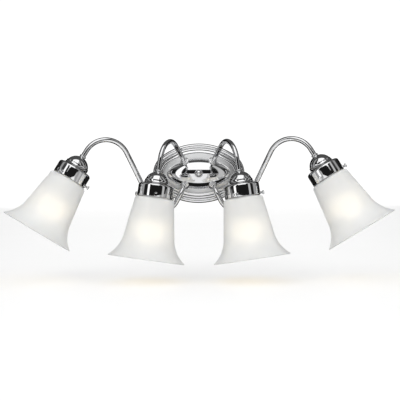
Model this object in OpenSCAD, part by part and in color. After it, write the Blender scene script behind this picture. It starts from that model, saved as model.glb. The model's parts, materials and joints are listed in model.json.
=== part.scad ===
// Vanity light bar: an oval wall canopy, four bent tube arms, four domed shade
// holders with thumbscrews, four lampholders and bulbs, and four bell glasses.
// Frame: the wall is the plane Y = 0, the fixture stands out towards -Y, +Z is up,
// +X is to the right, and the origin is the centre of the canopy's back plane.

/* [Canopy] */
// Length of the oval canopy
canopy_w = 191; // [170:1:230]
// Height of the oval canopy
canopy_h = 124.2; // [110:0.6:132]
// Thickness of the pressed sheet metal
sheet_t = 1.2; // [0.8:0.1:1.6]
// Height of the straight edge at the wall, and radius of the first bead
edge_bead_r = 5; // [4:0.5:6]
// Radius of the second bead
step_bead_r = 4.5; // [3.5:0.5:5.5]
// Width of the whole stepped rim, from the edge to the groove
rim_w = 30; // [27:1:33]
// Height of the rim's sloping band at the groove
band_h = 19.5; // [18:0.5:22]
// Depth of the groove between the band and the dome
groove_d = 2.5; // [1.5:0.5:3.5]
// Width of the groove
groove_w = 1.5; // [1:0.5:2.5]
// Height of the dome above the groove
dome_h = 19; // [15:1:24]

/* [Arms] */
// Outside radius of the arm tube
tube_r = 5; // [4.5:0.25:5.5]
// Wall of the arm tube
tube_wall = 1.2; // [1:0.1:1.5]
// Distance of the arm roots from the middle, sideways
root_x = 29; // [26:1:32]
// Distance of the arm roots from the middle, up or down
root_z = 24.5; // [22:0.5:26]
// Radius of the wide arches
arch_r = 47; // [40:1:54]
// Inner arm: sideways heading, from +X towards the front
inner_yaw = 68; // [60:1:74]
// Inner arm: upward slope at the root
inner_slope = 34.5; // [30:0.5:45]
// Inner arm: straight length from the canopy to the arch
inner_rise = 56; // [46:1:68]
// Inner arm: radius of the arch
inner_arch_r = 44; // [38:1:52]
// Inner arm: first part of the arch
inner_bend = 49; // [40:1:60]
// Inner arm: sideways swing in the middle of the arch
inner_swing = 6; // [0:1:10]
// Inner arm: straight length between the two parts of the arch
inner_link = 2; // [1:1:6]
// Inner arm: second part of the arch
inner_turn = 67.5; // [60:0.5:75]
// Inner arm: straight length into the holder
inner_drop = 21.5; // [18:0.5:30]
// Outer arm: sideways heading, from +X towards the front
outer_yaw = 69; // [60:1:74]
// Outer arm: downward slope at the root
outer_slope = 36; // [30:0.5:45]
// Outer arm: straight length from the canopy to the first bend
outer_lead = 12; // [10:1:16]
// Outer arm: radius of the first bend
elbow_r = 20; // [16:1:24]
// Outer arm: first bend
elbow_bend = 47; // [40:1:55]
// Outer arm: turn of the tube before the first bend
elbow_swing = 35; // [25:1:45]
// Outer arm: straight length between the elbow and the hook
outer_link = 15; // [10:1:22]
// Outer arm: radius of the hook under the canopy
hook_r = 30; // [26:1:34]
// Outer arm: bend of the hook
hook_bend = 126; // [118:1:132]
// Outer arm: turn of the tube before the hook
hook_swing = 101; // [90:1:112]
// Outer arm: straight rise from the hook to the arch
outer_rise = 112; // [94:1:135]
// Outer arm: turn of the tube before the arch
arch_swing = 173; // [166:1:180]
// Outer arm: bend of the arch
arch_bend = 121; // [112:1:128]
// Outer arm: straight length into the holder
outer_drop = 15; // [12:0.5:24]

/* [Holders] */
// Outside radius of the holder's skirt
skirt_r = 35; // [33:0.5:42]
// Height of the straight skirt
skirt_h = 21; // [18:1:25]
// Radius of the holder's dome
holder_dome_r = 24; // [22:0.5:26]
// Height of the dome above the shoulder
holder_dome_h = 17; // [15:1:19]
// Radius of the rounded shoulder above the skirt
shoulder_r = 5; // [4:0.5:6]
// Radius of the cove between the dome and the shoulder
cove_r = 6.5; // [5:0.5:8]
// Height of the thumbscrews above the skirt's lower edge
screw_h = 4; // [3.5:0.5:5]
// Radius of the thumbscrew shank
screw_r = 2.1; // [1.75:0.05:2.5]
// Radius of the thumbscrew head
screw_head_r = 4; // [3.5:0.25:5]
// Thickness of the thumbscrew head
screw_head_t = 3; // [2:0.5:4]
// Visible shank between the skirt and the head
screw_stand = 5; // [3:0.5:8]
// Direction of each light's first thumbscrew, seen along the shade
screw_turns = [102, 85, 102, 42]; // [0:1:360]

/* [Glass shades] */
// Gap between the glass lip and the inside of the skirt
lip_gap = 2.3; // [1.5:0.1:3]
// Step between the lip and the glass neck
lip_step = 1.6; // [1.2:0.1:2.5]
// Height of the glass lip
lip_h = 4.1; // [3:0.1:6]
// Gap between the lip and the thumbscrews
lip_rest = 3.3; // [3:0.1:5]
// Distance from the skirt's lower edge to the mouth of the glass
glass_l = 122.5; // [100:0.5:147]
// Radius of the glass under its shoulder
glass_top_r = 39; // [37:0.5:48]
// Radius of the glass where the flare starts
glass_waist_r = 49.5; // [45:0.5:58]
// Radius of the mouth
mouth_r = 77; // [68:0.5:92]
// Height of the flare at the mouth
flare_h = 44.6; // [36:0.1:54]
// Thickness of the glass
glass_t = 3; // [2.5:0.1:3.5]
// Radius of the rounded shoulder of the glass
glass_shoulder_r = 6; // [4.5:0.5:7.5]

/* [Lampholders and bulbs] */
// Outside radius of the lampholder
socket_r = 19; // [18:0.5:21]
// Radius of the bulb's screw base
base_r = 13; // [12.5:0.1:13.5]
// Length of the bulb's screw base
base_l = 23; // [20:1:26]
// Radius of the bulb's globe
globe_r = 30; // [26:0.5:32]
// Length of the bulb's glass
bulb_l = 85; // [78:1:92]

/* [Mounting hardware] */
// Distance between the strap's screw slots
slot_spacing = 88.9; // [82:0.1:95]
// Width of the strap's screw slots
slot_w = 5; // [4.5:0.1:5.5]
// Length of the strap's screw slots, end to end
slot_l = 18; // [12:1:22]
// Width of the mounting strap
strap_w = 22; // [19:1:26]
// Thickness of the mounting strap
strap_t = 2; // [1.5:0.1:2.5]
// Radius of the threaded nipple
nipple_r = 4.8; // [4.5:0.1:5.1]
// Radius of the finial's ball
finial_r = 7.5; // [6:0.5:9]

/* [Hidden] */
$fn = 64;
SIDES = ["left_outer", "left_inner", "right_inner", "right_outer"];
SCREWS = [1, 2, 3];
LIGHTS = [0, 1, 2, 3];
function per_light(name) = [for (side = SIDES) str(name, "_", side)];
function screw_name(light, screw) = str("thumbscrew_", SIDES[light], "_", screw);
over = 1;
run_gap = 0.05;

// Canopy: four-centre oval and dome
// The end and side centres lie on a 3-4-5 triangle, which fixes all four arcs
end_x = 1.5 * (canopy_w - canopy_h) / 2;
end_r = canopy_h / 2 - end_x / 3;
side_z = end_x * 4 / 3;
side_r = end_r + end_x * 5 / 3;
groove_h = band_h - groove_d;
dome_inset = rim_w + groove_w;
dome_a = canopy_w / 2 - dome_inset;
dome_b = canopy_h / 2 - dome_inset;
dome_side_r = (dome_b * dome_b + dome_h * dome_h) / (2 * dome_h);
dome_long_r = (dome_a * dome_a + dome_h * dome_h) / (2 * dome_h);
dome_axis_h = groove_h + dome_h - dome_side_r;
crest_h = groove_h + dome_h;
function dome_section(x) = sqrt(pow(dome_long_r, 2) - x * x) - dome_long_r + dome_side_r;
function dome_depth(x, z) = dome_axis_h + sqrt(pow(dome_section(x), 2) - z * z);

// Arms
seat_r = 9;
seat_h = 2.2;
collar_r = 8;
collar_foot_h = 1.2;
collar_neck_r = 6.6;
collar_neck_h = 2;
collar_bead_r = 1.6;
root_depth = dome_depth(root_x, root_z);
lock_nut_r = seat_r - sheet_t - 0.3;
lock_nut_h = 4;
seat_nut_h = 2 * seat_h - sheet_t - run_gap;
thread_in = 7;
thread_out = 11;
lead_out = 1.5;
wire_r = 0.8;
wire_offset = 1.6;
joint_gap = 0.1;
band_t = 0.02;
// Each bend is [straight before it, turn about the tube, bend angle, bend radius]
inner_bends = [
    [inner_rise, 0, inner_bend, inner_arch_r],
    [inner_link, inner_swing, inner_turn, inner_arch_r]
];
outer_bends = [
    [outer_lead, elbow_swing, elbow_bend, elbow_r],
    [outer_link, hook_swing, hook_bend, hook_r],
    [outer_rise, arch_swing, arch_bend, arch_r]
];
function is_inner(light) = light == 1 || light == 2;
function is_left(light) = light < 2;
function bends_of(light) = is_inner(light) ? inner_bends : outer_bends;
function drop_of(light) = is_inner(light) ? inner_drop : outer_drop;
// Heading, root and wire exit of an arm in the fixture's frame
function mirrored(light, v) = [is_left(light) ? -v.x : v.x, v.y, v.z];
function slope_of(light) = is_inner(light) ? inner_slope : -outer_slope;
function yaw_of(light) = is_inner(light) ? inner_yaw : outer_yaw;
function heading(slope, yaw) = [cos(slope) * cos(yaw), -cos(slope) * sin(yaw), sin(slope)];
function root_of(light) = [root_x, -root_depth, is_inner(light) ? root_z : -root_z];
// The conductors swap places in the left arms, so that each pair leaves uncrossed
function wire_place(light, side) = (is_left(light) ? -side : side) * wire_offset;
function wire_exit(light, side) = mirrored(
    light,
    root_of(light)
        - (thread_in + lead_out) * heading(slope_of(light), yaw_of(light))
        + wire_place(light, side) * [sin(yaw_of(light)), cos(yaw_of(light)), 0]
);

// Holder, measured along the shade's axis from its top
holder_top = 1;
dome_mid = holder_top + holder_dome_r;
neck_z = holder_top + holder_dome_h;
shoulder_z = neck_z + cove_r + 1.5;
skirt_z = shoulder_z + shoulder_r;
skirt_end = skirt_z + skirt_h;
skirt_in_r = skirt_r - sheet_t;
screw_z = skirt_end - screw_h;

// Glass
lip_r = skirt_in_r - lip_gap;
neck_r = lip_r - lip_step;
lip_low = screw_z - screw_r - lip_rest;
lip_top = lip_low - lip_h;
screw_grip = 0.9;
screw_tip = lip_r - screw_grip;
glass_top = skirt_end + 1.2;
shoulder_low = glass_top + glass_shoulder_r;
mouth_z = skirt_end + glass_l;
waist_z = mouth_z - flare_h;
taper = atan2(glass_waist_r - glass_top_r, waist_z - shoulder_low);
flare_dr = mouth_r - glass_waist_r;
flare_r = (flare_dr * flare_dr + flare_h * flare_h)
    / (2 * (flare_dr * cos(taper) - flare_h * sin(taper)));

// Lampholder and bulb
holder_nut_z = dome_mid - sqrt(pow(holder_dome_r - sheet_t, 2) - pow(lock_nut_r, 2));
socket_top = holder_nut_z + lock_nut_h + 0.2;
chamber_z = socket_top + 5;
floor_z = chamber_z + 12;
shell_z = floor_z + 4;
shell_r = base_r + 1.3;
shell_t = 0.6;
contact_z = shell_z + 5;
tip_z = contact_z + 1.5;
tip_l = 3;
bulb_glass_z = tip_z + tip_l + base_l;
socket_end = bulb_glass_z - 2;
terminal_z = chamber_z + 6;
globe_z = bulb_glass_z + bulb_l - globe_r;
bulb_neck_r = base_r + 0.8;
bulb_t = 1;
bulb_slope = 28;

// Mounting hardware
nipple_end = crest_h + 8;
strap_l = slot_spacing + slot_l + 12;
strap_nut_h = 3;
strap_nut_r = 8;
washer_top = crest_h + 1.4;
washer_r = 8.5;
washer_h = 1.6;
washer_bevel = 0.8;
ground_screw_r = 1.9;
ground_head_r = 4;
connector_x = 17;
connector_r = 5.5;
connector_low = strap_t + 1.5;
connector_high = connector_low + 13;
ground_x = -26;

// ---- Placing -------------------------------------------------------------

// Lays a shape drawn on the XY plane against the wall, its height towards -Y
module on_wall() {
    rotate([90, 0, 0]) children();
}

// Moves to an arm's root on the canopy, with Z pointing out along the tube
module at_root(light) {
    mirror([is_left(light) ? 1 : 0, 0, 0])
        translate(root_of(light))
            rotate([0, 90 - slope_of(light), -yaw_of(light)]) children();
}

// Moves to the end of the tube from bend number i on
module past_bends(bends, drop, i = 0) {
    if (i < len(bends)) {
        bend = bends[i];
        translate([0, 0, bend[0]])
            rotate([0, 0, bend[1]])
                translate([bend[3] * (1 - cos(bend[2])), 0, bend[3] * sin(bend[2])])
                    rotate([0, bend[2], 0])
                        past_bends(bends, drop, i + 1) children();
    } else {
        translate([0, 0, drop]) children();
    }
}

// Moves to a light: Z points down its shade from the top of the holder
module at_light(light) {
    at_root(light) past_bends(bends_of(light), drop_of(light)) children();
}

// Turns to one of a holder's three thumbscrews, with X pointing outwards
module at_screw(light, screw) {
    at_light(light)
        translate([0, 0, screw_z])
            rotate([0, 0, screw_turns[light] + 120 * screw]) children();
}

// Sweeps a ring, or a rod, along the tube. Its place, [x, y], doesn't twist at the
// turns. A hair-thin band joins each straight to its bend.
module along_tube(bends, before, after, outer, inner = 0, place = [0, 0], i = 0, twist = 0) {
    last = i == len(bends);
    bend = last ? [after] : bends[i];
    low = i == 0 ? -before : joint_gap;
    high = last ? after : bend[0] - joint_gap;
    translate([0, 0, low])
        linear_extrude(high - low) ring_section(outer, inner, place, twist);
    if (i > 0) joint_band(outer, inner, place, twist);
    if (!last) translate([0, 0, bend[0]]) {
        joint_band(outer, inner, place, twist);
        rotate([0, 0, bend[1]]) {
            translate([bend[3], 0, 0]) rotate([90, 0, 180])
                rotate_extrude(angle = bend[2])
                    translate([bend[3], 0]) mirror([1, 0])
                        ring_section(outer, inner, place, twist + bend[1]);
            translate([bend[3] * (1 - cos(bend[2])), 0, bend[3] * sin(bend[2])])
                rotate([0, bend[2], 0])
                    along_tube(bends, before, after, outer, inner, place, i + 1, twist + bend[1]);
        }
    }
}

module ring_section(outer, inner, place, twist) {
    rotate(-twist) translate(place) difference() {
        circle(r = outer);
        if (inner > 0) circle(r = inner);
    }
}

module joint_band(outer, inner, place, twist) {
    translate([0, 0, -3 * joint_gap]) linear_extrude(6 * joint_gap)
        ring_section(outer + band_t, inner > 0 ? inner - band_t : 0, place, twist);
}

module ring(outer, inner, height) {
    difference() {
        cylinder(r = outer, h = height);
        translate([0, 0, -over]) cylinder(r = inner, h = height + 2 * over);
    }
}

module hex_nut(corner_r, bore, height) {
    difference() {
        cylinder(r = corner_r, h = height, $fn = 6);
        translate([0, 0, -over]) cylinder(r = bore, h = height + 2 * over);
    }
}

// A round wire through a list of points
module wire_run(points) {
    for (i = [1 : len(points) - 1]) {
        step = points[i] - points[i - 1];
        translate(points[i - 1]) {
            sphere(r = wire_r + band_t);
            rotate([0, atan2(norm([step.x, step.y]), step.z), atan2(step.y, step.x)])
                cylinder(r = wire_r, h = norm(step));
        }
    }
}

// ---- Canopy --------------------------------------------------------------

// Wedges that split the oval between its end arcs and its side arcs
module end_wedge() {
    polygon([[0, 0], [3 * canopy_w, 4 * canopy_w], [3 * canopy_w, -4 * canopy_w]]);
}

module side_wedge() {
    polygon([[0, 0], [3 * canopy_w, 4 * canopy_w], [-3 * canopy_w, 4 * canopy_w]]);
}

// Four-centre oval, drawn inside the canopy's edge
module oval(inset) {
    intersection() {
        translate([0, -side_z]) circle(r = side_r - inset);
        translate([0, side_z]) circle(r = side_r - inset);
        square([2 * end_x + (end_r - inset) * 6 / 5, canopy_h], center = true);
    }
    for (side = [-1, 1])
        translate([side * end_x, 0]) circle(r = end_r - inset);
}

// Runs a section, drawn with its outer edge at x = 0, round the oval
module round_oval() {
    for (turn = [0, 180]) {
        rotate(turn) translate([end_x, 0]) intersection() {
            rotate_extrude() translate([end_r, 0]) children();
            translate([0, 0, -2 * over]) linear_extrude(band_h + 4 * over) end_wedge();
        }
        rotate(turn) translate([0, -side_z]) intersection() {
            rotate_extrude($fn = 128) translate([side_r, 0]) children();
            translate([0, 0, -2 * over]) linear_extrude(band_h + 4 * over) side_wedge();
        }
    }
}

// Section of the stepped rim, with its surface moved in by skin
module rim_section(skin) {
    low = skin > 0 ? -over : 0;
    step_x = 2 * edge_bead_r + step_bead_r - 1;
    step_h = edge_bead_r + step_bead_r - 0.5;
    translate([-dome_inset - over, low])
        square([dome_inset + over - skin, edge_bead_r - low]);
    translate([-edge_bead_r, edge_bead_r]) circle(r = edge_bead_r - skin);
    translate([-dome_inset - over, 0])
        square([dome_inset + over - edge_bead_r, 1.5 * edge_bead_r - skin]);
    translate([-step_x, step_h]) circle(r = step_bead_r - skin);
    polygon([
        [-step_x, 0],
        [-step_x, step_h + step_bead_r - 0.5 - skin],
        [-rim_w + skin, band_h - skin],
        [-rim_w + skin, 0]
    ]);
    translate([-dome_inset - 2 * over, low])
        square([dome_inset + 2 * over - rim_w + skin, groove_h - skin - low]);
}

// Dome: an arc turned about the long axis of the canopy
module dome_solid(skin) {
    intersection() {
        translate([0, 0, dome_axis_h]) rotate([0, 90, 0]) rotate_extrude($fn = 128)
            intersection() {
                translate([dome_side_r - dome_long_r, 0])
                    circle(r = dome_long_r - skin, $fn = 256);
                translate([0, -dome_a]) square([dome_side_r, 2 * dome_a]);
            }
        translate([-canopy_w / 2, -canopy_h / 2, groove_h - 2 * sheet_t])
            cube([canopy_w, canopy_h, dome_h + 3 * sheet_t]);
    }
}

// Flat round seats pressed out of the dome, square to the arms
module arm_seats(skin) {
    for (light = LIGHTS)
        at_root(light)
            translate([0, 0, -seat_h]) cylinder(r = seat_r - skin, h = 2 * seat_h - skin);
}

module canopy_form(skin) {
    low = skin > 0 ? -over : 0;
    on_wall() {
        round_oval() rim_section(skin);
        translate([0, 0, low]) linear_extrude(groove_h - skin - low)
            oval(rim_w + skin - sheet_t / 2);
        dome_solid(skin);
    }
}

module canopy() {
    color("silver") difference() {
        union() {
            canopy_form(0);
            arm_seats(0);
        }
        canopy_form(sheet_t);
        arm_seats(sheet_t);
        for (light = LIGHTS)
            at_root(light)
                translate([0, 0, -seat_h]) cylinder(r = tube_r + run_gap, h = 3 * seat_h);
        on_wall() cylinder(r = nipple_r + run_gap, h = crest_h + over);
    }
}

// ---- Mounting hardware ---------------------------------------------------

module slot(length, width, height) {
    half = (length - width) / 2;
    translate([0, 0, -over]) linear_extrude(height + 2 * over) {
        square([2 * half, width], center = true);
        for (side = [-1, 1])
            translate([side * half, 0]) circle(r = width / 2);
    }
}

module mounting_strap() {
    color("lightsteelblue") on_wall() difference() {
        linear_extrude(strap_t) {
            square([strap_l - strap_w, strap_w], center = true);
            for (side = [-1, 1])
                translate([side * (strap_l - strap_w) / 2, 0]) circle(r = strap_w / 2);
        }
        for (side = [-1, 1])
            translate([side * slot_spacing / 2, 0, 0]) slot(slot_l, slot_w, strap_t);
        translate([0, 0, -over]) cylinder(r = nipple_r, h = strap_t + 2 * over);
        translate([ground_x, 0, -over]) cylinder(r = ground_screw_r, h = strap_t + 2 * over);
    }
}

module centre_nipple() {
    color("goldenrod") on_wall() ring(nipple_r, nipple_r - 1.5, nipple_end);
}

module strap_nut() {
    color("goldenrod") on_wall()
        translate([0, 0, strap_t]) hex_nut(strap_nut_r, nipple_r, strap_nut_h);
}

module finial_washer() {
    color("silver") on_wall() difference() {
        union() {
            translate([0, 0, washer_top - washer_bevel - washer_h])
                cylinder(r = washer_r, h = washer_h);
            translate([0, 0, washer_top - washer_bevel])
                cylinder(r1 = washer_r, r2 = washer_r - 1, h = washer_bevel);
        }
        dome_solid(0);
        cylinder(r = nipple_r + run_gap, h = crest_h + 2 * over);
    }
}

module finial() {
    ball_h = washer_top + finial_r - 1;
    color("silver") on_wall() difference() {
        union() {
            translate([0, 0, washer_top]) cylinder(r = finial_r - 1, h = 2);
            translate([0, 0, ball_h]) intersection() {
                sphere(r = finial_r);
                translate([0, 0, washer_top - ball_h])
                    cylinder(r = finial_r + over, h = 3 * finial_r);
            }
        }
        cylinder(r = nipple_r + run_gap, h = nipple_end + 0.3);
    }
}

module ground_screw() {
    color("seagreen") on_wall() translate([ground_x, 0, 0]) {
        cylinder(r = ground_screw_r, h = strap_t);
        translate([0, 0, strap_t]) difference() {
            cylinder(r = ground_head_r, h = 2.4);
            translate([-0.5, -5, 1.4]) cube([1, 10, 2]);
        }
    }
}

// Bare wire from the screw's head over the rim of the third connector
module ground_wire() {
    mouth = [0, -17, connector_high - 2];
    color("peru") on_wall() wire_run([
        [ground_x - 1, -ground_head_r - wire_r - 2 * run_gap, strap_t + 1],
        [ground_x + 6, -9, strap_t + 6],
        mouth + [-8, -6, -4],
        mouth + [-5, -5, 6.5],
        mouth + [0, 0, 7],
        mouth
    ]);
}

module wire_connector(x, z) {
    translate([x, z, connector_low]) difference() {
        union() {
            cylinder(r1 = connector_r - 1.5, r2 = connector_r, h = 11);
            translate([0, 0, 11]) cylinder(r = connector_r, h = 2);
        }
        translate([0, 0, 9]) cylinder(r = connector_r - 1, h = 5);
    }
}

module wire_connectors() {
    color("orange") on_wall() {
        wire_connector(connector_x, 0);
        wire_connector(-connector_x, 0);
        wire_connector(0, -17);
    }
}

// One conductor of each arm: from the lampholder's terminal to the arm's root, then
// across the back of the dome into a connector
module conductors(side, gather_h) {
    for (light = LIGHTS) {
        corner = 1.3 * [is_left(light) ? -1 : 1, 0, is_inner(light) ? 1 : -1];
        mouth = [side * connector_x, 0, 0] + corner;
        at_root(light)
            along_tube(
                bends_of(light), thread_in + lead_out, drop_of(light) + terminal_z,
                wire_r, place = [0, wire_place(light, side)]
            );
        wire_run([
            wire_exit(light, side),
            mouth - [0, gather_h, 0],
            mouth - [0, connector_high - 3, 0]
        ]);
    }
}

module hot_wires() {
    color("black") conductors(1, connector_high + 8);
}

module neutral_wires() {
    color("white") conductors(-1, connector_high + 2);
}

// ---- Arms ----------------------------------------------------------------

module arm(light) {
    color("silver") at_root(light)
        along_tube(
            bends_of(light), thread_in, drop_of(light) + thread_out,
            tube_r, tube_r - tube_wall
        );
}

// Bead on the arm where it enters the canopy, cut clear of the rim beside its seat
module arm_collars() {
    color("silver") difference() {
        for (light = LIGHTS)
            at_root(light) translate([0, 0, seat_h]) rotate_extrude() difference() {
                union() {
                    square([collar_r, collar_foot_h]);
                    translate([0, collar_foot_h]) square([collar_neck_r, collar_neck_h]);
                    translate([0, collar_foot_h + collar_neck_h]) intersection() {
                        translate([tube_r, 0]) circle(r = collar_bead_r);
                        square([collar_r, collar_bead_r + over]);
                    }
                }
                square([tube_r, 2 * collar_r]);
            }
        canopy_form(-run_gap);
    }
}

module arm_lock_nuts() {
    color("goldenrod") for (light = LIGHTS)
        at_root(light) translate([0, 0, seat_h - sheet_t - seat_nut_h])
            hex_nut(lock_nut_r, tube_r, seat_nut_h);
}

// ---- Holders -------------------------------------------------------------

// Half section of the holder, with its surface moved in by skin
module holder_section(skin) {
    low = skin > 0 ? over : 0;
    intersection() {
        translate([0, dome_mid]) circle(r = holder_dome_r - skin, $fn = 128);
        square([holder_dome_r, neck_z + 1]);
    }
    translate([0, neck_z]) square([holder_dome_r - skin, 1.6]);
    difference() {
        translate([0, shoulder_z - cove_r])
            square([skirt_r - shoulder_r, skirt_end - shoulder_z + cove_r + low]);
        translate([holder_dome_r + cove_r, shoulder_z - cove_r])
            circle(r = cove_r + skin);
        translate([holder_dome_r + cove_r, shoulder_z - cove_r])
            square([skirt_r, cove_r + skin]);
    }
    translate([skirt_r - shoulder_r, skirt_z]) circle(r = shoulder_r - skin);
    translate([0, skirt_z]) square([skirt_r - skin, skirt_end - skirt_z + low]);
}

module holder(light) {
    color("silver") difference() {
        at_light(light) difference() {
            rotate_extrude() holder_section(0);
            rotate_extrude() holder_section(sheet_t);
            translate([0, 0, -over]) cylinder(r = tube_r, h = 2 * holder_top + 4);
        }
        for (screw = SCREWS)
            at_screw(light, screw)
                translate([skirt_in_r - over, 0, 0]) rotate([0, 90, 0])
                    cylinder(r = screw_r + run_gap, h = sheet_t + 2 * over);
    }
}

// Bead on the arm where it enters the holder
module holder_collars() {
    color("silver") for (light = LIGHTS)
        at_light(light) difference() {
            rotate_extrude() {
                translate([0, -2.6]) square([tube_r + 1.2, 5]);
                translate([tube_r + 0.6, -1.2]) circle(r = 1.5);
            }
            translate([0, 0, -10]) cylinder(r = tube_r, h = 20);
            translate([0, 0, dome_mid]) sphere(r = holder_dome_r, $fn = 128);
        }
}

module holder_nuts() {
    color("goldenrod") for (light = LIGHTS)
        at_light(light) translate([0, 0, holder_nut_z])
            hex_nut(lock_nut_r, tube_r, lock_nut_h);
}

// Shank with a rounded tip, and a grooved round head
module thumbscrew(light, screw) {
    shank_l = skirt_r + screw_stand - screw_tip;
    color("silver") at_screw(light, screw)
        translate([screw_tip, 0, 0]) rotate([0, 90, 0]) difference() {
            union() {
                cylinder(r1 = screw_r - 0.5, r2 = screw_r, h = 0.5);
                translate([0, 0, 0.5]) cylinder(r = screw_r, h = shank_l - 0.5);
                translate([0, 0, shank_l]) cylinder(r = screw_head_r, h = screw_head_t);
            }
            for (groove = [0 : 11])
                rotate(30 * groove) translate([screw_head_r + 0.35, 0, shank_l - over])
                    cylinder(r = 0.75, h = screw_head_t + 2 * over, $fn = 24);
        }
}

// ---- Glass shades --------------------------------------------------------

// Half section of the bell glass, with its surface moved in by skin
module glass_section(skin) {
    low = skin > 0 ? over : 0;
    slant = skin / cos(taper);
    translate([0, lip_top - low]) square([neck_r - skin, glass_top - lip_top + 8]);
    translate([0, glass_top + skin])
        square([glass_top_r - glass_shoulder_r, glass_shoulder_r]);
    translate([glass_top_r - glass_shoulder_r, shoulder_low])
        circle(r = glass_shoulder_r - skin);
    polygon([
        [0, shoulder_low],
        [glass_top_r - slant, shoulder_low],
        [glass_waist_r - slant, waist_z],
        [0, waist_z]
    ]);
    difference() {
        translate([0, waist_z]) square([mouth_r, flare_h + low]);
        translate([
            glass_waist_r + flare_r * cos(taper),
            waist_z - flare_r * sin(taper)
        ]) circle(r = flare_r + skin, $fn = 256);
        translate([mouth_r - 0.01, 0]) square([2 * mouth_r, 2 * mouth_z]);
    }
}

module shade(light) {
    color("whitesmoke") at_light(light) rotate_extrude($fn = 128) {
        difference() {
            union() {
                glass_section(0);
                translate([neck_r - 1, lip_top]) square([lip_step + 0.2, lip_h]);
                translate([lip_r - 0.8, lip_top + 0.8]) square([0.8, lip_h - 1.6]);
            }
            glass_section(glass_t);
        }
    }
}

// ---- Lampholders and bulbs -----------------------------------------------

module socket(light) {
    color("ivory") at_light(light) rotate_extrude() difference() {
        union() {
            translate([0, socket_top]) square([11, 4]);
            translate([0, socket_top + 3]) square([15, 6]);
            translate([0, socket_top + 6]) square([socket_r, socket_end - socket_top - 6]);
        }
        translate([0, socket_top - over]) square([tube_r, 8]);
        translate([0, chamber_z]) square([12, floor_z - chamber_z]);
        translate([0, floor_z - over]) square([1.5, 20]);
        translate([0, shell_z]) square([shell_r + 0.2, socket_end]);
    }
}

module socket_shell(light) {
    color("goldenrod") at_light(light) translate([0, 0, shell_z + 1])
        ring(shell_r, shell_r - shell_t, socket_end - shell_z - 2);
}

// Spring centre contact and the terminal plates in the chamber
module socket_contacts() {
    color("goldenrod") for (light = LIGHTS)
        at_light(light) {
            translate([0, 0, terminal_z + 1])
                cylinder(r = 1.5, h = contact_z - terminal_z - 1);
            translate([0, 0, contact_z - 0.8]) cylinder(r = 4, h = 0.8);
            translate([-3, 0.4, terminal_z]) cube([6, 5, 1]);
            translate([-3, -5.4, terminal_z]) cube([6, 5, 1]);
        }
}

module bulb_base(light) {
    color("gainsboro") at_light(light) rotate_extrude() {
        translate([0, tip_z]) square([3, 1.2]);
        polygon([
            [0, tip_z + 1],
            [4, tip_z + 1],
            [base_r - 2, tip_z + tip_l],
            [0, tip_z + tip_l]
        ]);
        translate([0, tip_z + tip_l]) square([base_r, base_l]);
    }
}

// Half section of the bulb, with its surface moved in by skin
module bulb_section(skin) {
    low = skin > 0 ? skin : 0;
    cone_r = globe_r * cos(bulb_slope);
    cone_z = globe_z - globe_r * sin(bulb_slope);
    neck_low = cone_z - (cone_r - bulb_neck_r) / tan(bulb_slope);
    slant = skin / cos(bulb_slope);
    translate([0, bulb_glass_z + low]) square([bulb_neck_r - skin, neck_low - bulb_glass_z]);
    polygon([
        [0, neck_low],
        [bulb_neck_r - slant, neck_low],
        [cone_r - slant, cone_z],
        [0, cone_z]
    ]);
    intersection() {
        translate([0, globe_z]) circle(r = globe_r - skin, $fn = 128);
        translate([0, bulb_glass_z]) square([globe_r + over, bulb_l + over]);
    }
}

module bulb_glass(light) {
    color("lightyellow") at_light(light) rotate_extrude() difference() {
        bulb_section(0);
        bulb_section(bulb_t);
    }
}

// ---- Assembly ------------------------------------------------------------

canopy();
mounting_strap();
centre_nipple();
strap_nut();
finial();
finial_washer();
ground_screw();
ground_wire();
wire_connectors();
hot_wires();
neutral_wires();
arm_collars();
arm_lock_nuts();
holder_collars();
holder_nuts();
socket_contacts();
for (light = LIGHTS) {
    side = SIDES[light];
    arm(light);
    holder(light);
    socket(light);
    socket_shell(light);
    bulb_base(light);
    bulb_glass(light);
    shade(light);
    for (screw = SCREWS)
        thumbscrew(light, screw);
}
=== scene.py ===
import json
import math

import bmesh
import bpy
from mathutils import Matrix, Vector

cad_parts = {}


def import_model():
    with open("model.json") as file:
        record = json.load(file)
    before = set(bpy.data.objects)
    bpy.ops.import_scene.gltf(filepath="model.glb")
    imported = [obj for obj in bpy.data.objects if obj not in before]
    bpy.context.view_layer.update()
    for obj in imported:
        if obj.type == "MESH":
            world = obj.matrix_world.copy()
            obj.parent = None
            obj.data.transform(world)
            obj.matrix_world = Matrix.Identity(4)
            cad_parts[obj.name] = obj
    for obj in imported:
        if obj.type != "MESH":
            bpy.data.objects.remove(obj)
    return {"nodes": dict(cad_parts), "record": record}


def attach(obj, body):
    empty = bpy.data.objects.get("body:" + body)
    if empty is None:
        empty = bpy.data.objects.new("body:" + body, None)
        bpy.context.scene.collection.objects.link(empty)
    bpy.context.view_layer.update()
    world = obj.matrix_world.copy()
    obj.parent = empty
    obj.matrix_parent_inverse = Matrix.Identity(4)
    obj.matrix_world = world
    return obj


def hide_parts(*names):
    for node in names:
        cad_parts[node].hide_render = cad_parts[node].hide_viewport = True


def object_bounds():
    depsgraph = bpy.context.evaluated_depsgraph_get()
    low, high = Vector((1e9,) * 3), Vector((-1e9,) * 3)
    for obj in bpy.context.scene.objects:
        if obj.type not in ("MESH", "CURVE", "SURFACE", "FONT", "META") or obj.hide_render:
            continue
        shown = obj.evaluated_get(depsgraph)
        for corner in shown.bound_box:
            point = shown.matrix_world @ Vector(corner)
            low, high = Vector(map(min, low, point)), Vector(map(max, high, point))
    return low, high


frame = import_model()
CAD_BOX = [list(v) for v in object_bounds()]
NODES = frame["nodes"]
RECORD = frame["record"]
SIDES = ["left_outer", "left_inner", "right_inner", "right_outer"]
SCREWS = (1, 2, 3)
MM = 0.001
scene = bpy.context.scene


# ---- Materials ---------------------------------------------------------------

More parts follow.
